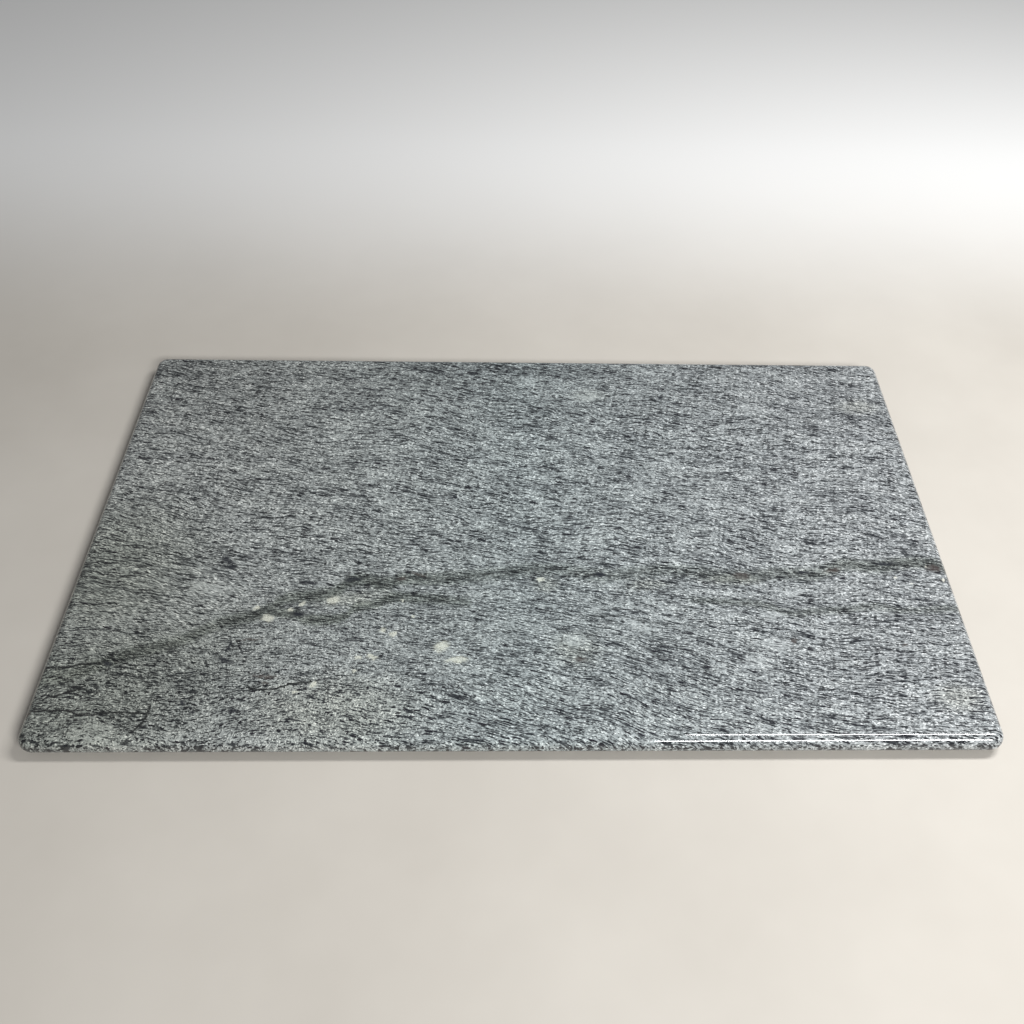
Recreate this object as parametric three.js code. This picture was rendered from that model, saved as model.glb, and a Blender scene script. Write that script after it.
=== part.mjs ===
// Granite table-top slab on bumper pads, in millimetres, +Z up.
// The origin is on the surface that the pads stand on, under the middle of the slab.
// +X runs along the slab's length and +Y across its width.
import * as THREE from 'three';

// Slab
const LENGTH = 1300;
const WIDTH = 800;
const THICKNESS = 30;
const CORNER_RADIUS = 20; // of the slab's outline, seen from above
const EDGE_LAND = 0.4; // the upright strip left halfway up the rounded edge
const EDGE_SEGMENTS = 10; // steps in each quarter of the rounded edge
const CORNER_SEGMENTS = 10; // steps in each corner of the outline

// Mesh and resin backing
const BACKING_THICKNESS = 1;
const BACKING_SETBACK = 3; // from where the rounded edge starts, on the underside

// Bumper pads
const PAD_DIAMETER = 25;
const PAD_HEIGHT = 3;
const PAD_FOOT_DIAMETER = 20; // the flat that stands on the surface below
const PAD_SHOULDER = 1.2; // height of the pad's upright rim
const PAD_SEGMENTS = 32;
const PAD_ROUND_SEGMENTS = 5; // steps in the rounding from the rim to the foot
const PAD_COLUMNS = 4;
const PAD_END_INSET = 110; // from the slab's ends to the outer pads' centres
const PAD_SIDE_INSET = 90; // from the slab's long sides to the pads' centres

// Worked out from the dimensions above
const edgeRadius = (THICKNESS - EDGE_LAND) / 2;
const backingBottom = PAD_HEIGHT;
const slabBottom = backingBottom + BACKING_THICKNESS;
const backingInset = edgeRadius + BACKING_SETBACK;

const granite = new THREE.MeshStandardMaterial({ color: 0x7f8785, roughness: 0.12, metalness: 0 });
const resinMesh = new THREE.MeshStandardMaterial({ color: 0xb9b8a8, roughness: 0.45, metalness: 0 });
const polyurethane = new THREE.MeshStandardMaterial({ color: 0xc9cec8, roughness: 0.25, metalness: 0 });

// A rectangle centred on the origin, with arcs at its corners.
function roundedRectangle(length, width, radius) {
  const x = length / 2;
  const y = width / 2;
  const outline = new THREE.Shape();
  outline.moveTo(-x + radius, -y);
  outline.lineTo(x - radius, -y);
  outline.absarc(x - radius, -y + radius, radius, -Math.PI / 2, 0);
  outline.lineTo(x, y - radius);
  outline.absarc(x - radius, y - radius, radius, 0, Math.PI / 2);
  outline.lineTo(-x + radius, y);
  outline.absarc(-x + radius, y - radius, radius, Math.PI / 2, Math.PI);
  outline.lineTo(-x, -y + radius);
  outline.absarc(-x + radius, -y + radius, radius, Math.PI, Math.PI * 1.5);
  outline.closePath();
  return outline;
}

// The stone: flat top and underside, and an edge rounded over from both.
function graniteSlab() {
  const geometry = new THREE.ExtrudeGeometry(roundedRectangle(LENGTH, WIDTH, CORNER_RADIUS), {
    depth: EDGE_LAND,
    curveSegments: CORNER_SEGMENTS,
    bevelEnabled: true,
    bevelThickness: edgeRadius,
    bevelSize: edgeRadius,
    bevelOffset: -edgeRadius, // the outline stays the slab's widest line
    bevelSegments: EDGE_SEGMENTS,
  });
  const slab = new THREE.Mesh(geometry, granite);
  slab.name = 'granite_slab';
  slab.position.z = slabBottom + edgeRadius;
  return slab;
}

// The layer bonded to the underside, a little smaller than the flat it covers.
function meshBacking() {
  const outline = roundedRectangle(
    LENGTH - 2 * backingInset,
    WIDTH - 2 * backingInset,
    CORNER_RADIUS - edgeRadius,
  );
  const geometry = new THREE.ExtrudeGeometry(outline, {
    depth: BACKING_THICKNESS,
    curveSegments: CORNER_SEGMENTS,
    bevelEnabled: false,
  });
  const backing = new THREE.Mesh(geometry, resinMesh);
  backing.name = 'mesh_backing';
  backing.position.z = backingBottom;
  return backing;
}

// A round bumper: a flat foot, rounded up to an upright rim, and a flat top stuck to the backing.
function padGeometry() {
  const footRadius = PAD_FOOT_DIAMETER / 2;
  const rimRadius = PAD_DIAMETER / 2;
  const roundHeight = PAD_HEIGHT - PAD_SHOULDER;
  const profile = [new THREE.Vector2(0, 0)];
  for (let i = 0; i <= PAD_ROUND_SEGMENTS; i++) {
    const turn = (i / PAD_ROUND_SEGMENTS) * (Math.PI / 2);
    const radius = footRadius + (rimRadius - footRadius) * Math.sin(turn);
    profile.push(new THREE.Vector2(radius, roundHeight * (1 - Math.cos(turn))));
  }
  profile.push(new THREE.Vector2(rimRadius, PAD_HEIGHT));
  profile.push(new THREE.Vector2(0, PAD_HEIGHT));
  const geometry = new THREE.LatheGeometry(profile, PAD_SEGMENTS);
  geometry.rotateX(Math.PI / 2); // the lathe turns about Y, and the pad stands along Z
  return geometry;
}

// Two rows of pads, counted from the left.
function bumperPads() {
  const pads = new THREE.Group();
  const firstX = -LENGTH / 2 + PAD_END_INSET;
  const spacing = (LENGTH - 2 * PAD_END_INSET) / (PAD_COLUMNS - 1);
  const rowY = WIDTH / 2 - PAD_SIDE_INSET;
  for (const [row, y] of [['front', -rowY], ['back', rowY]]) {
    for (let column = 0; column < PAD_COLUMNS; column++) {
      const pad = new THREE.Mesh(padGeometry(), polyurethane);
      pad.name = `pad_${row}_${column + 1}`;
      pad.position.set(firstX + column * spacing, y, 0);
      pads.add(pad);
    }
  }
  return pads;
}

const assembly = new THREE.Group();
assembly.add(graniteSlab(), meshBacking(), bumperPads());

export default assembly;
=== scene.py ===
"""A polished granite table-top slab, mesh backed, on clear bumper pads. Blender 4.5, metres, +Z up.

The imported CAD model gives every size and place. This script adds fine shapes, the stone and the studio.
Patterns in the stone are laid out in millimetres from the middle of the slab, with +X to the right and
+Y to the back.
"""

import math

import bmesh
import bpy
from mathutils import Matrix, Vector, noise


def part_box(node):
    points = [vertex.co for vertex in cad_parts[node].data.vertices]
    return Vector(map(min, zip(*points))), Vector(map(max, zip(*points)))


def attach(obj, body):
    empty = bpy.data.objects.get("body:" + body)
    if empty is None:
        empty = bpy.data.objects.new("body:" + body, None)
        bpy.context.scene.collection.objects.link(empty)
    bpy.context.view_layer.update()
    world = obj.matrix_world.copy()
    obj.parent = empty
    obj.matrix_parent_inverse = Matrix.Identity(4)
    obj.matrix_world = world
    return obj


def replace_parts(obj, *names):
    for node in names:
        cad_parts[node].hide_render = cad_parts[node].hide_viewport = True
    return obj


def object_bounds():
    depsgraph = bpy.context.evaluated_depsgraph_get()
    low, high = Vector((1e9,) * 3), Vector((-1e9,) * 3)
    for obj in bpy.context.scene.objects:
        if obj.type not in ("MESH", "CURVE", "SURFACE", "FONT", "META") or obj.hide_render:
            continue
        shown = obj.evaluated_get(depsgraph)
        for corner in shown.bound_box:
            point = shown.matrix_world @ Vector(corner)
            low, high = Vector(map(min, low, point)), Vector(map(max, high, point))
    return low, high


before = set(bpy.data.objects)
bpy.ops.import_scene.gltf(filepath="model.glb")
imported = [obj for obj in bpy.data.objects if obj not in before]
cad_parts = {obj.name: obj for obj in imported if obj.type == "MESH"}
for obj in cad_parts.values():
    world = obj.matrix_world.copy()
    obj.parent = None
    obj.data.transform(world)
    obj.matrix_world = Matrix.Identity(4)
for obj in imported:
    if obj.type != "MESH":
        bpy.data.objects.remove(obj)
cad_low, cad_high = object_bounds()

MM = 0.001

# Camera, measured from the middle of the slab
CAMERA_OFFSET = Vector((0.001, -1.144, 1.231))
CAMERA_PITCH = 46.3  # degrees down
CAMERA_YAW = 2.87  # degrees towards +X
CAMERA_ROLL = 2.36  # degrees
CAMERA_LENS = 37.64  # millimetres, on a 36 mm sensor
CAMERA_SHIFT = -0.0445  # of the sensor's width

# Slab
CORNER_RADIUS = 20 * MM  # of the outline, seen from above
GRID_STEP = 10 * MM  # of the faces on the flats and along the edges
GRID_INSET = 1.1  # from the outline to the grid on the flats, in corner radii
CORNER_STEPS = 14
ROUND_STEPS = 28  # from the top round to the underside
SUPPORT = 1.5 * MM  # flat ring beside the rounded edge, which keeps its shading off the flats
EDGE_WAVE = 0.05 * MM  # how far the hand-polished edge wanders
EDGE_WAVES = 22.0  # of it in a metre
UNDERSIDE_STRIP = 0.08  # share of the texture map that the underside gets
MAP_MARGIN = 0.005  # of the texture map, left free on each side

# Backing
BACKING_WANDER = 1.0 * MM  # how far its trimmed edge wanders, inwards only
BACKING_WAVES = 9.0  # of it in a metre
BACKING_CORNER_STEPS = 4
BACKING_THREAD = 5 * MM  # from one glass thread to the next

# Pads
PAD_FOOT = 0.8  # of the pad's radius
PAD_SEGMENTS = 64
PAD_GLUE = 0.15 * MM  # thickness of the adhesive disc
PAD_DISH = 0.25 * MM  # depth of the moulding's gate mark in the foot
PAD_ROUND_STEPS = 8

# Studio, in metres and watts
WORLD_COLOUR = (0.98, 0.985, 1.0, 1.0)
WORLD_STRENGTH = 0.205
FLOOR_SIZE = 12.0
CONCRETE_DARK = (0.45, 0.42, 0.375, 1.0)
CONCRETE_PALE = (0.57, 0.54, 0.49, 1.0)
FLOOR_BEHIND = (0.90, 0.90, 0.89, 1.0)
TUBES = [  # name, place, what it points at, size, power
    ("tube_overhead", (1.32, 0.115, 2.22), (1.32, 0.115, 0.0), (1.5, 0.36), 58.5),
    ("tube_behind_camera", (1.32, -2.84, 2.22), (0.4, -0.4, 0.0), (1.5, 0.46), 108.0),
]


class Tree:
    """Short calls that build one material's nodes.

    Any value may be a number, a tuple or another node's socket.
    """

    def __init__(self, name):
        self.material = bpy.data.materials.new(name)
        self.material.use_nodes = True
        self.tree = self.material.node_tree
        self.tree.nodes.clear()
        self.principled = self.tree.nodes.new("ShaderNodeBsdfPrincipled")
        output = self.tree.nodes.new("ShaderNodeOutputMaterial")
        self.tree.links.new(self.principled.outputs[0], output.inputs["Surface"])

    def put(self, socket, value):
        if isinstance(value, bpy.types.NodeSocket):
            self.tree.links.new(value, socket)
        elif value is not None:
            socket.default_value = value

    def node(self, kind, inputs, **settings):
        made = self.tree.nodes.new(kind)
        for name, value in settings.items():
            setattr(made, name, value)
        for key, value in inputs.items():
            self.put(made.inputs[key], value)
        return made

    def shader(self, **values):
        """Sets sockets of the Principled shader: base_color is Base Color, and so on."""
        for name, value in values.items():
            self.put(self.principled.inputs[name.replace("_", " ").title().replace("Ior", "IOR")], value)

    def place(self):
        """The point on the object, in millimetres."""
        at = self.node("ShaderNodeTexCoord", {}).outputs["Object"]
        return self.vector("SCALE", at, scale=1000.0)

    def math(self, operation, a, b=None, c=None):
        return self.node("ShaderNodeMath", {0: a, 1: b, 2: c}, operation=operation).outputs[0]

    def times(self, a, b):
        return self.math("MULTIPLY", a, b)

    def plus(self, base, value, factor):
        """base + value * factor"""
        return self.math("MULTIPLY_ADD", value, factor, base)

    def most(self, a, b):
        """The larger of the two."""
        return self.math("MAXIMUM", a, b)

    def vector(self, operation, a, b=None, scale=None, third=None):
        made = self.node("ShaderNodeVectorMath", {0: a, 1: b, 2: third, 3: scale}, operation=operation)
        return made.outputs[1 if operation in ("LENGTH", "DOT_PRODUCT") else 0]

    def split(self, vector):
        return self.node("ShaderNodeSeparateXYZ", {0: vector}).outputs

    def join(self, x, y, z):
        return self.node("ShaderNodeCombineXYZ", {0: x, 1: y, 2: z}).outputs[0]

    def noise_node(self, at, size, detail, roughness):
        inputs = {"Vector": at, "Scale": 1.0 / size, "Detail": detail, "Roughness": roughness}
        return self.node("ShaderNodeTexNoise", inputs)

    def noise(self, at, size, detail=2.0, roughness=0.5):
        """Soft noise from 0 to 1 with features about size apart."""
        return self.noise_node(at, size, detail, roughness).outputs["Fac"]

    def noises(self, at, size, detail=2.0, roughness=0.5):
        """Three noises that differ."""
        colour = self.noise_node(at, size, detail, roughness).outputs["Color"]
        return self.node("ShaderNodeSeparateColor", {0: colour}).outputs

    def cells(self, at, size):
        """The distance to the nearest of scattered points, and three random values for each point."""
        made = self.node("ShaderNodeTexVoronoi", {"Vector": at, "Scale": 1.0 / size})
        picks = self.node("ShaderNodeSeparateColor", {0: made.outputs["Color"]}).outputs
        return made.outputs["Distance"], picks

    def fade(self, value, start, end, low=0.0, high=1.0):
        """Goes smoothly from low at start to high at end, and stays there."""
        return self.node(
            "ShaderNodeMapRange",
            {"Value": value, "From Min": start, "From Max": end, "To Min": low, "To Max": high},
            interpolation_type="SMOOTHSTEP",
        ).outputs[0]

    def mix(self, share, a, b, blend="MIX"):
        made = self.node("ShaderNodeMix", {0: share, 6: a, 7: b}, data_type="RGBA", blend_type=blend)
        return made.outputs[2]

    def ramp(self, value, stops):
        """A colour for each value between the stops, which are (value, (r, g, b))."""
        made = self.node("ShaderNodeValToRGB", {0: value})
        points = made.color_ramp.elements
        for _ in stops[2:]:
            points.new(0.5)
        for point, (position, colour) in zip(points, stops):
            point.position = position
            point.color = (*colour, 1.0)
        return made.outputs[0]

    def curve(self, value, points):
        """A smooth curve through points, which are (value, result) in rising order of value."""
        values, results = zip(*points)
        first, last = values[0], values[-1]
        low, high = min(results) - 1.0, max(results) + 1.0
        span = {"Value": value, "From Min": first, "From Max": last}
        share = self.node("ShaderNodeMapRange", span).outputs[0]
        made = self.node("ShaderNodeFloatCurve", {1: share})
        line = made.mapping.curves[0]
        for _ in points[2:]:
            line.points.new(0.5, 0.5)
        for point, (at, result) in zip(line.points, points):
            point.location = ((at - first) / (last - first), (result - low) / (high - low))
        made.mapping.update()
        return self.math("MULTIPLY_ADD", made.outputs[0], high - low, low)

    def seam(self, along, across, points, width, blur=3.0):
        """1 on a line through points, which are (along, across), and 0 at width away and past its ends."""
        away = self.math("ABSOLUTE", self.math("SUBTRACT", across, self.curve(along, points)))
        near = self.fade(away, width, self.math("MULTIPLY", width, 0.25))
        first, last = points[0][0], points[-1][0]
        begun = self.fade(along, first - blur, first + blur)
        ended = self.fade(along, last + blur, last - blur)
        return self.math("MULTIPLY", near, self.math("MULTIPLY", begun, ended))

    def spots(self, at, places, softness=0.45):
        """1 on each of places, which are (x, y, length, width, turn in degrees) on the top face."""
        found = None
        turned = {}
        for x, y, length, width, degrees in places:
            cos = math.cos(math.radians(degrees))
            sin = math.sin(math.radians(degrees))
            if degrees not in turned:
                along = self.vector("DOT_PRODUCT", at, (cos, sin, 0.0))
                across = self.vector("DOT_PRODUCT", at, (-sin, cos, 0.0))
                turned[degrees] = self.join(along, across, self.vector("DOT_PRODUCT", at, (0.0, 0.0, 1.0)))
            middle = (x * cos + y * sin, y * cos - x * sin, TOP_MM)
            halves = (length / 2, width / 2, SPOT_DEPTH)
            scale = tuple(1 / half for half in halves)
            shift = tuple(-place / half for place, half in zip(middle, halves))
            away = self.vector("LENGTH", self.vector("MULTIPLY_ADD", turned[degrees], scale, third=shift))
            spot = self.fade(away, 1.0 + softness, 1.0 - softness)
            found = spot if found is None else self.math("MAXIMUM", found, spot)
        return found


slab_low, slab_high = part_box("granite_slab")
TOP_MM = slab_high.z / MM
SPOT_DEPTH = 16.0  # millimetres that a grain reaches down into the stone

# Lines in the stone: (x, y) of points along each
VEIN = [
    (-655, -300), (-610, -292), (-560, -268), (-517, -250), (-486, -241), (-453, -223), (-419, -202),
    (-381, -191), (-355, -176), (-331, -157), (-289, -152), (-261, -140), (-236, -123), (-194, -131),
    (-172, -121), (-129, -122), (-40, -112), (44, -102), (94, -109), (117, -114), (172, -109),
    (206, -104), (258, -106), (332, -114), (389, -109), (441, -109), (477, -96), (504, -91), (532, -95),
    (599, -86), (655, -100),
]
BRANCH = [
    (-365, -183), (-317, -188), (-306, -196), (-261, -197), (-233, -173), (-208, -169), (-178, -155),
    (-142, -158), (-70, -166),
]
SECOND_BAND = [
    (250, -160), (335, -166), (366, -171), (388, -182), (404, -184), (424, -180), (474, -179),
    (524, -171), (557, -178), (655, -173),
]
SLANTS = [
    [(40, -180), (89, -189), (150, -190), (181, -199), (240, -210)],
    [(125, -196), (150, -207), (183, -227), (211, -242), (245, -254), (290, -275)],
    [(50, -214), (83, -216), (97, -224), (119, -220), (156, -232), (183, -252), (210, -275)],
]
CRACKS = [
    [(-640, -350), (-597, -349), (-569, -356), (-539, -352), (-488, -354)],
    [(-645, -279), (-626, -281), (-594, -275), (-570, -273)],
    [(-632, -331), (-600, -320), (-583, -312)],
    [(-368, -308), (-342, -316), (-308, -307), (-280, -303)],
]
CRACK_TO_FRONT = [(-384, -507), (-362, -490), (-338, -488)]  # (y, x), as it runs to the front
CRACK_WIDTH = 2.8
VEIN_SWING = 7.0  # how far the vein and its lines wander
VEIN_STRENGTH = [  # of the dark zone along the vein, by x
    (-650, 0.5), (-430, 0.7), (-330, 0.9), (-180, 0.85), (-60, 0.6), (300, 0.6), (500, 0.85), (650, 0.9),
]

FLOW_DIP = 0.20  # of the flow, towards the front for each millimetre to the right
# How far the flow leaves its usual direction at the front, by x
FRONT_FLOW = [(-650, 0), (-420, -45), (-200, -88), (-60, -84), (90, -60), (240, -34), (650, -30)]

FLAKE_LEAST = -0.34  # smallest radius of a flake, in cells: those below 0 don't show

# Grains and patches: (x, y, length, width, turn in degrees)
CREAM_GRAINS = [
    (-269, -161, 17, 14, 30), (-312, -169, 9, 6, 0), (-358, -194, 16, 13, 0), (-328, -180, 8, 6, 0),
    (-376, -176, 8, 7, 0), (-170, -162, 4, 7, 0), (-193, -217, 10, 9, 0), (-178, -222, 8, 9, 0),
    (-151, -191, 4, 4, 0), (-108, -244, 22, 15, 25), (-86, -267, 30, 10, 4), (-223, -263, 9, 6, 0),
    (-203, -262, 13, 7, -35), (-226, -286, 7, 5, 0), (-278, -308, 9, 8, 0), (-301, -319, 6, 5, 0),
    (32, -122, 12, 7, 0), (563, -116, 5, 4, 0), (585, -128, 4, 4, 0), (635, -121, 5, 6, 0),
    (616, -93, 5, 6, 0),
]
TAN_PATCHES = [
    (189, -131, 60, 20, 5), (39, -130, 34, 28, 0), (312, -122, 80, 18, 0), (-245, -350, 190, 100, 0),
    (-240, -158, 90, 24, 12), (80, -250, 60, 50, 0), (120, 300, 50, 26, 0), (590, 275, 60, 34, 0),
    (600, -330, 60, 40, 0),
]
PALE_LENSES = [
    (369, -189, 34, 17, 0), (364, -239, 40, 21, 0), (329, -268, 32, 17, 5), (81, -235, 30, 22, 0),
    (111, -177, 30, 13, 0), (403, -149, 30, 14, -10), (178, -211, 74, 12, -32), (120, 300, 55, 30, 0),
    (145, 172, 20, 9, 0), (400, 270, 36, 18, -10), (-555, -382, 60, 24, 5), (-450, -140, 60, 26, 0),
]
DARK_GRAINS = [
    (-306, -130, 26, 7, 0), (-244, -123, 27, 9, 8), (-317, -188, 20, 11, 0), (-561, -274, 11, 8, 0),
    (-403, -244, 22, 4, 82), (-403, -269, 26, 8, -20), (-446, -336, 9, 6, -30), (-431, -352, 7, 5, 0),
    (-379, -349, 9, 6, 0), (-444, -288, 5, 5, 0), (-105, 48, 9, 7, 0), (-60, 288, 12, 5, 0),
    (245, 295, 11, 5, 20), (118, -113, 26, 9, 0), (556, -89, 30, 7, 5), (425, -107, 20, 6, 5),
    (-435, -85, 20, 9, -40), (-428, -98, 16, 7, 10),
]
BROWN_GRAINS = [
    (332, -113, 23, 13, -10), (627, -98, 20, 13, 0), (-172, -121, 14, 8, 0), (-344, -295, 32, 6, -3),
    (-342, -306, 9, 4, 0), (86, -267, 16, 7, -10), (390, -234, 9, 7, 0), (547, -242, 7, 5, 0),
    (471, -102, 24, 6, 15), (-645, -352, 9, 14, 0), (-150, -112, 24, 4, -25), (-375, -233, 34, 3, 5),
]
DARK_CROWDS = [
    (-545, -275, 130, 50, 10), (-590, -318, 90, 28, 10), (-436, -310, 90, 40, 0),
    (-130, -236, 80, 26, -25), (200, -270, 70, 60, -40), (-435, -88, 38, 36, 0),
    (-65, -30, 50, 24, -20), (-210, 190, 60, 32, -10), (-620, 370, 160, 40, 0), (-40, 370, 300, 40, 0),
    (330, 150, 120, 40, -25),
]
DARK_CORNER = [(-590, -330, 380, 260, 25), (-610, -110, 240, 260, 20)]

# Linear colours of the minerals
GROUND = [
    (0.18, (0.050, 0.054, 0.055)),
    (0.33, (0.215, 0.232, 0.232)),
    (0.52, (0.322, 0.347, 0.346)),
    (0.70, (0.430, 0.460, 0.455)),
    (0.83, (0.840, 0.875, 0.855)),
]
LENS_GREY = (0.42, 0.45, 0.45, 1.0)
MICA_FINE = (0.032, 0.036, 0.040, 1.0)
MICA_BLUE = (0.004, 0.005, 0.008, 1.0)
MICA_GREY = (0.020, 0.022, 0.023, 1.0)
MICA_PURPLE = (0.014, 0.013, 0.018, 1.0)
MICA_LONG = (0.012, 0.014, 0.018, 1.0)
CREAM = (0.64, 0.65, 0.57, 1.0)
BROWN = (0.055, 0.044, 0.040, 1.0)
BLACK = (0.014, 0.016, 0.022, 1.0)
VEIN_LINE = (0.019, 0.021, 0.020, 1.0)
CRACK = (0.010, 0.011, 0.012, 1.0)

# Tints, which the colour is multiplied by
CROWD_TINT = [(0.0, (1.04, 1.04, 1.045)), (1.0, (0.91, 0.915, 0.93))]  # from little mica to much
TAN_TINT = (1.16, 1.12, 0.98, 1.0)
VEIN_TINT = (0.62, 0.64, 0.59, 1.0)
CORNER_TINT = (0.76, 0.77, 0.72, 1.0)
# Painted shade: darkens the stone towards the back edge, in place of less light falling there
BACK_PAINTED_SHADE = (0.90, 0.90, 0.90, 1.0)
# From the left end to the right
DRIFT = [(0.0, (1.02, 1.0, 0.965)), (0.5, (0.952, 1.0, 1.004)), (1.0, (1.012, 1.0, 1.015))]


class Stone(Tree):
    """The granite's nodes. Its grains lie along a flow, and are laid out along it and across it."""

    def __init__(self, name):
        super().__init__(name)
        self.at = self.place()
        self.x, self.y, self.z = self.split(self.at)
        middling = self.lay_flow()
        # Points moved about at random, which make the outlines of what is listed ragged
        jitter = self.join(*self.noises(self.at, 9.0, 3.0, 0.65))
        jitter = self.vector("SUBTRACT", jitter, (0.5, 0.5, 0.5))
        self.rough_at = self.vector("ADD", self.at, self.vector("SCALE", jitter, scale=14.0))
        line_at = self.vector("ADD", self.at, self.vector("SCALE", jitter, scale=8.0))
        self.rough_x, self.rough_y, _ = self.split(line_at)
        swing_from = self.math("SUBTRACT", self.rough_y, VEIN_SWING / 2)
        self.swing = self.plus(swing_from, middling[2], VEIN_SWING)

    def lay_flow(self):
        """The flow dips to the right and wanders. At the front left it is rumpled, with short grains."""
        broad = self.noises(self.at, 330.0, 1.0)
        middling = self.noises(self.at, 62.0, 2.0)
        small = self.noises(self.at, 15.0, 2.0)
        across = self.plus(self.y, self.x, FLOW_DIP)
        front = self.fade(self.y, -60.0, -330.0)
        across = self.plus(across, front, self.curve(self.x, FRONT_FLOW))
        across = self.plus(across, broad[1], 70.0)
        across = self.plus(across, middling[1], 15.0)
        rumple = self.times(front, self.fade(self.x, 50.0, -450.0))
        self.across = self.plus(across, small[1], self.plus(0.8, rumple, 5.0))
        along = self.plus(self.x, self.y, -FLOW_DIP)
        along = self.plus(along, small[0], self.plus(2.5, rumple, 8.0))
        self.along = self.times(along, self.plus(1.0, rumple, 0.8))
        return middling

    def flow(self, size, shift=0.0):
        """Coordinates in which one unit is one grain of this size: its length, width and depth."""
        length, width, depth = size
        return self.join(
            self.plus(shift, self.along, 1.0 / length),
            self.times(self.across, 1.0 / width),
            self.times(self.z, 1.0 / depth),
        )

    def veins(self):
        """The broad dark zone along the vein, and the broken lines in it and beside it."""
        gaps = self.fade(self.noise(self.flow((20.0, 6.0, 12.0), 91.0), 1.0, 2.0, 0.6), 0.44, 0.56)
        along, across = self.rough_x, self.swing
        zone = self.most(self.seam(along, across, VEIN, 19.0), self.seam(along, across, BRANCH, 15.0))
        zone = self.times(zone, self.curve(self.x, VEIN_STRENGTH))
        second = self.seam(along, across, SECOND_BAND, 11.0, 20.0)
        zone = self.most(zone, self.times(second, 0.6))
        lines = self.most(self.seam(along, across, VEIN, 3.6), self.seam(along, across, BRANCH, 3.2))
        lines = self.most(lines, self.times(self.seam(along, across, SECOND_BAND, 3.6, 20.0), 0.8))
        for points in SLANTS:
            lines = self.most(lines, self.times(self.seam(along, self.rough_y, points, 3.6, 12.0), 0.8))
        lines = self.times(lines, gaps)
        return zone, self.times(lines, self.fade(along, -620.0, -480.0, 0.3, 1.0))

    def cracks(self):
        found = self.seam(self.rough_y, self.rough_x, CRACK_TO_FRONT, CRACK_WIDTH)
        for points in CRACKS:
            found = self.most(found, self.seam(self.rough_x, self.rough_y, points, CRACK_WIDTH))
        return found

    def crowding(self, zone, calm):
        """How far mica gathers: more in the vein's zone and less in the pale lenses."""
        crowd = self.fade(self.noise(self.flow((95.0, 26.0, 40.0)), 1.0, 3.0, 0.55), 0.30, 0.70)
        crowd = self.plus(crowd, self.spots(self.rough_at, DARK_CROWDS, 0.8), 0.6)
        crowd = self.plus(crowd, zone, 0.5)
        return self.plus(crowd, calm, -1.0)

    def flakes(self, crowd, size, most, shift):
        """Lens-shaped flakes of sizes up to most, and a random value for the colour of each."""
        distance, pick = self.cells(self.flow(size, shift), 1.0)
        reach = self.plus(FLAKE_LEAST, pick[0], most - FLAKE_LEAST)
        reach = self.plus(reach, crowd, 0.09)
        return self.fade(self.math("SUBTRACT", distance, reach), 0.04, -0.03), pick[1]

    def wisps(self, crowd, size, level, shift):
        """Dark streaks that taper, join and part."""
        sheet = self.noise(self.flow(size, shift), 1.0, 3.0, 0.6)
        return self.fade(self.plus(sheet, crowd, -0.04), level, level - 0.06)

    def ground(self, speckle, crowd, calm):
        """The pale ground of the stone, grain by grain."""
        _, (grain, _, _) = self.cells(self.flow((2.5, 1.7, 2.0), 57.0), 1.0)
        shade = self.plus(self.times(speckle, 0.40), grain, 0.60)
        colour = self.ramp(shade, GROUND)
        colour = self.mix(1.0, colour, self.ramp(crowd, CROWD_TINT), "MULTIPLY")
        tan = self.spots(self.rough_at, TAN_PATCHES, 0.7)
        colour = self.mix(self.times(tan, 0.4), colour, TAN_TINT, "MULTIPLY")
        return self.mix(self.times(calm, 0.42), colour, LENS_GREY)


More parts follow.
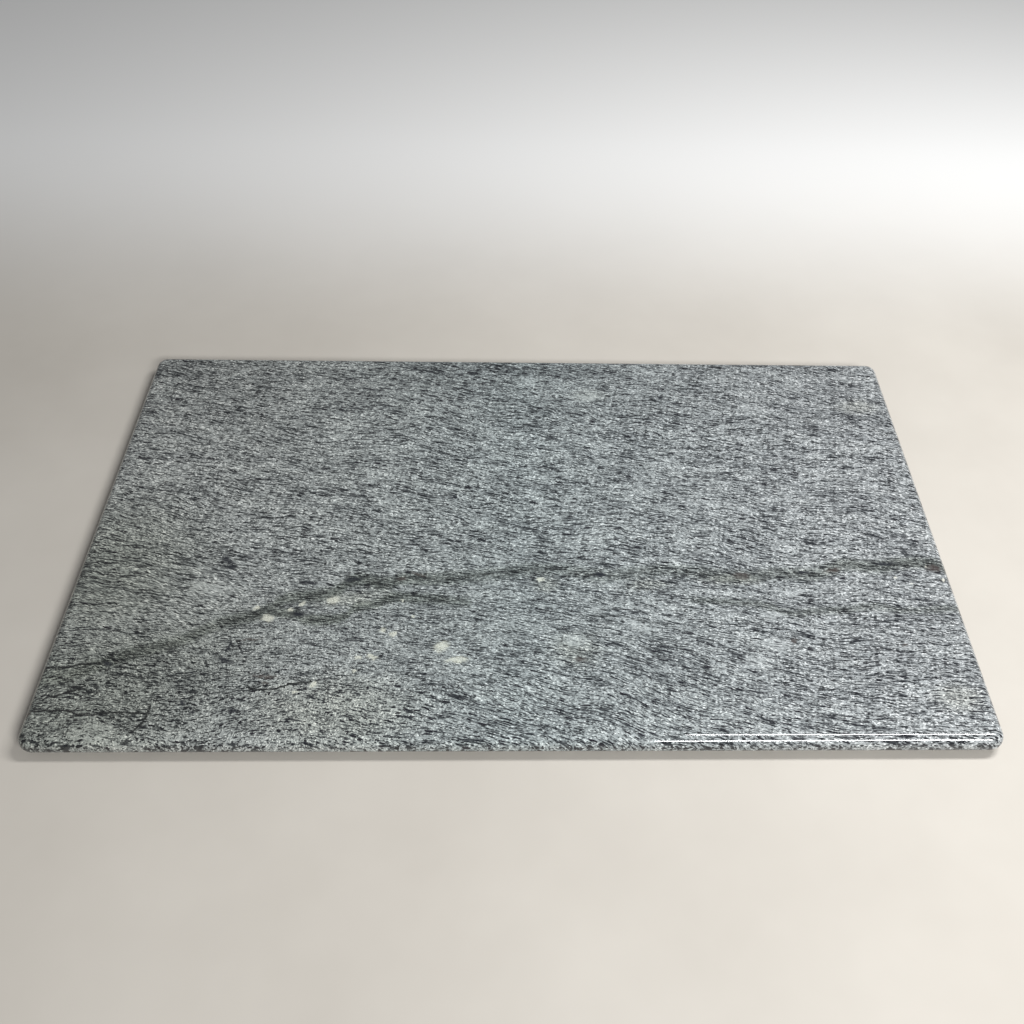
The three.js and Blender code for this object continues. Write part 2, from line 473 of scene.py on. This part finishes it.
def granite():
    """Grey-green grains, blue-black mica in wisps and flakes along the flow, and a dark olive vein."""
    t = Stone("granite")
    zone, lines = t.veins()
    cracks = t.cracks()
    calm = t.spots(t.rough_at, PALE_LENSES)
    crowd = t.crowding(zone, calm)
    long_flakes, long_pick = t.flakes(crowd, (16.0, 2.4, 7.0), 0.46, 0.0)
    short_flakes, short_pick = t.flakes(crowd, (7.5, 1.8, 4.5), 0.46, 31.7)
    long_wisps = t.wisps(crowd, (34.0, 2.6, 12.0), 0.432, 3.1)
    short_wisps = t.wisps(crowd, (13.0, 1.8, 6.0), 0.430, 11.9)
    speckle = t.noise(t.flow((3.0, 1.4, 1.8), 77.0), 1.0, 2.0, 0.65)

    colour = t.ground(speckle, crowd, calm)
    colour = t.mix(t.times(short_wisps, 0.85), colour, MICA_FINE)
    colour = t.mix(t.times(short_flakes, 0.96), colour, t.mix(short_pick, MICA_BLUE, MICA_GREY))
    colour = t.mix(t.times(long_flakes, 0.96), colour, t.mix(long_pick, MICA_BLUE, MICA_PURPLE))
    colour = t.mix(t.times(long_wisps, 0.90), colour, MICA_LONG)

    colour = t.mix(zone, colour, VEIN_TINT, "MULTIPLY")
    colour = t.mix(t.spots(t.at, DARK_CORNER, 0.8), colour, CORNER_TINT, "MULTIPLY")
    # Painted shade: the stone is darkened towards the back edge
    colour = t.mix(t.fade(t.y, 150.0, 330.0), colour, BACK_PAINTED_SHADE, "MULTIPLY")
    fleck = t.fade(speckle, 0.38, 0.54, 0.15, 0.92)
    colour = t.mix(t.times(t.spots(t.rough_at, CREAM_GRAINS), fleck), colour, CREAM)
    colour = t.mix(t.times(t.spots(t.rough_at, BROWN_GRAINS, 0.6), 0.75), colour, BROWN)
    colour = t.mix(t.times(t.spots(t.rough_at, DARK_GRAINS, 0.6), 0.90), colour, BLACK)
    colour = t.mix(t.times(lines, 0.55), colour, VEIN_LINE)
    colour = t.mix(t.times(cracks, 0.90), colour, CRACK)
    drift = t.ramp(t.fade(t.x, -650.0, 650.0), DRIFT)
    colour = t.mix(1.0, colour, drift, "MULTIPLY")

    # Polish: the mica takes it a little less well than the ground
    mica = t.most(long_flakes, short_flakes)
    t.shader(base_color=colour, roughness=t.plus(0.045, mica, 0.015), ior=1.5)
    bump = t.node("ShaderNodeBump", {"Strength": 0.08, "Distance": 0.02 * MM, "Height": mica}, invert=True)
    t.shader(normal=bump.outputs[0])
    return t.material


def backing_resin():
    """Glass threads, over and under one another, in amber-tinted resin."""
    t = Tree("resin_mesh")
    at = t.place()
    x, y, _ = t.split(at)
    pitch = BACKING_THREAD / MM

    def threads(across):
        """1 along the middle of each thread and 0 halfway to the next."""
        return t.math("ABSOLUTE", t.math("SINE", t.math("MULTIPLY", across, math.pi / pitch)))

    warp = t.fade(threads(x), 0.75, 0.95)
    weft = t.fade(threads(y), 0.75, 0.95)
    weave = t.math("MAXIMUM", warp, weft)
    mottle = t.noise(at, 40.0, 3.0)
    resin = t.mix(mottle, (0.30, 0.285, 0.215, 1.0), (0.40, 0.385, 0.30, 1.0))
    fuzz = t.noise(at, 0.8, 2.0)
    glass = t.mix(fuzz, (0.56, 0.56, 0.50, 1.0), (0.74, 0.74, 0.69, 1.0))
    t.shader(base_color=t.mix(t.math("MULTIPLY", weave, 0.8), resin, glass), ior=1.52)
    t.shader(roughness=t.math("MULTIPLY_ADD", mottle, 0.2, 0.3))
    bump = t.node("ShaderNodeBump", {"Strength": 0.6, "Distance": 0.3 * MM, "Height": weave})
    t.shader(normal=bump.outputs[0])
    return t.material


def pad_rubber():
    """Milky clear polyurethane."""
    t = Tree("clear_pad")
    at = t.place()
    cloud = t.noise(at, 6.0, 3.0)
    t.shader(base_color=t.mix(cloud, (0.52, 0.56, 0.54, 1.0), (0.68, 0.71, 0.68, 1.0)), ior=1.5)
    t.shader(roughness=t.math("MULTIPLY_ADD", t.noise(at, 1.2, 2.0), 0.15, 0.18))
    return t.material


def pad_glue():
    """The adhesive film on the pad's top."""
    t = Tree("pad_glue")
    fibres = t.noise(t.place(), 0.6, 3.0)
    t.shader(base_color=t.mix(fibres, (0.70, 0.70, 0.66, 1.0), (0.84, 0.84, 0.80, 1.0)), roughness=0.55)
    return t.material


class Outline:
    """A rounded rectangle whose points keep their order at any inset, so that rings can be joined."""

    def __init__(self, low, high, radius, step, corner_steps):
        self.middle = Vector(((low.x + high.x) / 2, (low.y + high.y) / 2))
        self.half = Vector(((high.x - low.x) / 2, (high.y - low.y) / 2))
        self.radius = radius
        self.inner = self.half - Vector((radius, radius)) * GRID_INSET  # half the size of the grid
        self.counts = [max(2, round(2 * side / step)) for side in self.inner]
        self.corner_steps = corner_steps

    def grid(self, column, row):
        """A point of the grid on the flats."""
        share = Vector((column / self.counts[0], row / self.counts[1]))
        return self.middle + Vector((self.inner.x * (2 * share.x - 1), self.inner.y * (2 * share.y - 1)))

    def sides(self):
        """For each side, anticlockwise from the front: its grid points as (column, row)."""
        across, up = self.counts
        yield [(i, 0) for i in range(across + 1)]
        yield [(across, i) for i in range(up + 1)]
        yield [(across - i, up) for i in range(across + 1)]
        yield [(0, up - i) for i in range(up + 1)]

    def ring(self, inset):
        """The points at this inset from the outline: each side's, then those of the corner after it."""
        points = []
        for side, places in enumerate(self.sides()):
            outward = Vector((math.sin(side * math.pi / 2), -math.cos(side * math.pi / 2)))
            reach = (self.half.y if side % 2 == 0 else self.half.x) - inset
            for place in places:
                along = self.grid(*place) - self.middle
                along -= outward * along.dot(outward)
                points.append(self.middle + along + outward * reach)
            start = (side - 1) * math.pi / 2
            onwards = Vector((-outward.y, outward.x))
            half_along = self.half.x if side % 2 == 0 else self.half.y
            centre = onwards * (half_along - self.radius) + outward * (reach + inset - self.radius)
            for i in range(self.corner_steps + 1):
                turn = start + (i / self.corner_steps) * math.pi / 2
                towards = Vector((math.cos(turn), math.sin(turn)))
                points.append(self.middle + centre + towards * (self.radius - inset))
        return points


def new_piece(name, mesh_data, materials):
    """An object for bmesh data, which rides on the part's only body."""
    mesh = bpy.data.meshes.new(name)
    mesh_data.to_mesh(mesh)
    mesh_data.free()
    for material in materials:
        mesh.materials.append(material)
    piece = bpy.data.objects.new(name, mesh)
    bpy.context.scene.collection.objects.link(piece)
    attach(piece, "root")
    return piece


def edge_levels(radius):
    """(inset, height, inset when the edge is unrolled) of each ring, from the top to the underside."""
    levels = [(radius + SUPPORT, radius, radius + SUPPORT)]
    for i in range(ROUND_STEPS + 1):
        turn = math.pi * i / ROUND_STEPS
        levels.append((radius - radius * math.sin(turn), radius * math.cos(turn), radius - radius * turn))
    levels.append((radius + SUPPORT, -radius, radius + SUPPORT))
    return levels


def stitch(data, outline, flat, ring, turn):
    """Faces between the grid on a flat and the ring round it, turned over for the underside."""
    faces = []
    start = 0
    for places in outline.sides():
        for i in range(len(places) - 1):
            corners = [ring[start + i], ring[start + i + 1], flat[places[i + 1]], flat[places[i]]]
            faces.append(data.faces.new(corners[::turn]))
        start += len(places) - 1
        corner = flat[places[-1]]
        for i in range(CORNER_STEPS + 2):
            pair = [ring[(start + i) % len(ring)], ring[(start + i + 1) % len(ring)]]
            faces.append(data.faces.new([*pair, corner][::turn]))
        start += CORNER_STEPS + 2
    return faces


def join_rings(data, above, below):
    faces = []
    for i in range(len(above)):
        after = (i + 1) % len(above)
        faces.append(data.faces.new([above[i], below[i], below[after], above[after]]))
    return faces


def slab_piece():
    """The stone: a grid on each flat, and rings of faces round the full bullnose edge between them."""
    outline = Outline(slab_low, slab_high, CORNER_RADIUS, GRID_STEP, CORNER_STEPS)
    radius = (slab_high.z - slab_low.z) / 2
    middle_z = (slab_low.z + slab_high.z) / 2
    data = bmesh.new()
    uv = data.loops.layers.uv.new("OFBake")
    spread = {}  # where each vertex of the top and edge goes on the map, in metres

    def vertex(point, height, unrolled):
        made = data.verts.new((point.x, point.y, height))
        spread[made] = unrolled - outline.middle
        return made

    columns, rows = outline.counts
    flats = []
    for height in (slab_high.z, slab_low.z):
        flat = {}
        for column in range(columns + 1):
            for row in range(rows + 1):
                point = outline.grid(column, row)
                flat[column, row] = vertex(point, height, point)
        flats.append(flat)

    rings = []
    for inset, height, unrolled in edge_levels(radius):
        points = outline.ring(inset)
        flat_points = outline.ring(unrolled)
        most = EDGE_WAVE * max(0.0, 1 - inset / radius)  # none where the flats end
        ring = []
        for point, flat_point in zip(points, flat_points):
            wave = noise.noise(Vector((point.x, point.y, height)) * EDGE_WAVES) * most
            outwards = (point - outline.middle).normalized()
            pushed = point + outwards * min(0.0, wave - most / 2)
            ring.append(vertex(pushed, middle_z + height, flat_point))
        rings.append(ring)

    upper = []
    lower = []
    for flat, faces, turn in ((flats[0], upper, 1), (flats[1], lower, -1)):
        for column in range(columns):
            for row in range(rows):
                corners = [(column, row), (column + 1, row), (column + 1, row + 1), (column, row + 1)]
                faces.append(data.faces.new([flat[c] for c in corners][::turn]))
    upper += stitch(data, outline, flats[0], rings[0], 1)
    lower += stitch(data, outline, flats[1], rings[-1], -1)
    for above, below in zip(rings[:-1], rings[1:]):
        faces = lower if below is rings[-1] else upper
        faces += join_rings(data, above, below)

    edge_run = radius * (math.pi - 1)  # how far the unrolled edge reaches past the outline
    size = (outline.half + Vector((edge_run, edge_run))) * 2.0
    strips = [
        (upper, UNDERSIDE_STRIP + 2 * MAP_MARGIN, 1 - MAP_MARGIN),
        (lower, MAP_MARGIN, UNDERSIDE_STRIP),
    ]
    for faces, low, high in strips:
        for face in faces:
            face.smooth = True
            for loop in face.loops:
                place = spread[loop.vert]
                across = 0.5 + (1 - 2 * MAP_MARGIN) * place.x / size.x
                loop[uv].uv = (across, low + (high - low) * (0.5 + place.y / size.y))
    return new_piece("granite_slab_stone", data, [granite()])


def backing_piece():
    """The resin layer: its edge was trimmed by hand, and it thins out there."""
    low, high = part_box("mesh_backing")
    outline = Outline(low, high, CORNER_RADIUS, 2 * GRID_STEP, BACKING_CORNER_STEPS)
    thickness = high.z - low.z
    # (inset, share of the thickness) of each ring
    levels = [(0.0, 1.0), (0.0, 0.45), (0.35 * MM, 0.15), (0.9 * MM, 0.0)]
    data = bmesh.new()
    rings = []
    for inset, height in levels:
        ring = []
        for point in outline.ring(inset):
            wander = 0.5 + 0.5 * noise.noise(Vector((point.x, point.y, 0.0)) * BACKING_WAVES)
            inwards = (outline.middle - point).normalized() * (BACKING_WANDER * wander)
            ring.append(data.verts.new((*(point + inwards), low.z + height * thickness)))
        rings.append(ring)
    for above, below in zip(rings[:-1], rings[1:]):
        for face in join_rings(data, above, below):
            face.smooth = True
    data.faces.new(rings[0])
    data.faces.new(rings[-1][::-1])
    return new_piece("mesh_backing_resin", data, [backing_resin()])


def pad_piece(node, rubber, glue):
    """A moulded bumper: a dished foot, a rounded rim, and its disc of adhesive on top."""
    low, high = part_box(node)
    middle = (low + high) / 2
    rim = (high.x - low.x) / 2
    height = high.z - low.z
    foot = rim * PAD_FOOT
    glue_at = height - PAD_GLUE
    # (radius, height) of each ring, from the middle of the foot to the middle of the top
    profile = [(0.0, PAD_DISH), (0.12 * rim, PAD_DISH), (0.16 * rim, 0.3 * PAD_DISH), (0.20 * rim, 0.0)]
    profile.append((foot, 0.0))
    for i in range(1, PAD_ROUND_STEPS + 1):
        turn = i / PAD_ROUND_STEPS * math.pi / 2
        profile.append((foot + (rim - foot) * math.sin(turn), 0.6 * height * (1 - math.cos(turn))))
    profile += [(rim, 0.85 * height), (0.985 * rim, 0.9 * height), (0.94 * rim, glue_at)]
    glue_from = len(profile)
    profile += [(0.90 * rim, glue_at), (0.90 * rim, height), (0.0, height)]
    data = bmesh.new()
    centres = [data.verts.new((middle.x, middle.y, low.z + profile[k][1])) for k in (0, -1)]
    rings = []
    for radius, z in profile[1:-1]:
        ring = []
        for i in range(PAD_SEGMENTS):
            turn = 2 * math.pi * i / PAD_SEGMENTS
            place = (middle.x + radius * math.cos(turn), middle.y + radius * math.sin(turn), low.z + z)
            ring.append(data.verts.new(place))
        rings.append(ring)
    for i in range(PAD_SEGMENTS):
        after = (i + 1) % PAD_SEGMENTS
        data.faces.new([centres[0], rings[0][after], rings[0][i]])
        for k, (below, above) in enumerate(zip(rings[:-1], rings[1:])):
            face = data.faces.new([below[i], below[after], above[after], above[i]])
            face.material_index = int(k + 1 >= glue_from)
        data.faces.new([centres[1], rings[-1][i], rings[-1][after]]).material_index = 1
    for face in data.faces:
        face.smooth = face.material_index == 0
    return new_piece(f"{node}_bumper", data, [rubber, glue])


def build_part():
    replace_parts(slab_piece(), "granite_slab")
    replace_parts(backing_piece(), "mesh_backing")
    rubber = pad_rubber()
    glue = pad_glue()
    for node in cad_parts:
        if node.startswith("pad_"):
            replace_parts(pad_piece(node, rubber, glue), node)


def camera():
    data = bpy.data.cameras.new("camera")
    data.lens = CAMERA_LENS
    data.sensor_width = 36.0
    data.shift_x = CAMERA_SHIFT
    data.clip_end = 100.0
    made = bpy.data.objects.new("camera", data)
    bpy.context.scene.collection.objects.link(made)
    place = Matrix.Translation((slab_low + slab_high) / 2 + CAMERA_OFFSET)
    turn = Matrix.Rotation(math.radians(-CAMERA_YAW), 4, "Z")
    turn @= Matrix.Rotation(math.radians(90.0 - CAMERA_PITCH), 4, "X")
    turn @= Matrix.Rotation(math.radians(CAMERA_ROLL), 4, "Z")
    made.matrix_world = place @ turn
    bpy.context.scene.camera = made


def floor():
    """Pale concrete, almost white behind the slab."""
    data = bmesh.new()
    bmesh.ops.create_grid(data, x_segments=1, y_segments=1, size=FLOOR_SIZE)
    mesh = bpy.data.meshes.new("studio_floor")
    data.to_mesh(mesh)
    data.free()
    made = bpy.data.objects.new("studio_floor", mesh)
    bpy.context.scene.collection.objects.link(made)
    made.location.z = cad_low.z
    t = Tree("pale_floor")
    at = t.place()
    mottle = t.noise(at, 350.0, 4.0, 0.6)
    concrete = t.mix(mottle, CONCRETE_DARK, CONCRETE_PALE)
    behind = t.fade(t.split(at)[1], 450.0, 1300.0)
    t.shader(base_color=t.mix(behind, concrete, FLOOR_BEHIND), roughness=0.7)
    mesh.materials.append(t.material)


def area_light(name, place, target, size, power):
    data = bpy.data.lights.new(name, "AREA")
    data.shape = "RECTANGLE"
    data.size, data.size_y = size
    data.energy = power
    made = bpy.data.objects.new(name, data)
    bpy.context.scene.collection.objects.link(made)
    made.location = place
    made.rotation_euler = (Vector(place) - Vector(target)).to_track_quat("Z", "Y").to_euler()


def studio():
    """Soft light all round, and ceiling lights on the right, whose reflections line the front edge."""
    world = bpy.data.worlds.new("studio")
    world.use_nodes = True
    background = world.node_tree.nodes["Background"]
    background.inputs["Color"].default_value = WORLD_COLOUR
    background.inputs["Strength"].default_value = WORLD_STRENGTH
    bpy.context.scene.world = world
    bpy.context.scene.view_settings.view_transform = "Standard"
    floor()
    for tube in TUBES:
        area_light(*tube)


camera()
build_part()
studio()
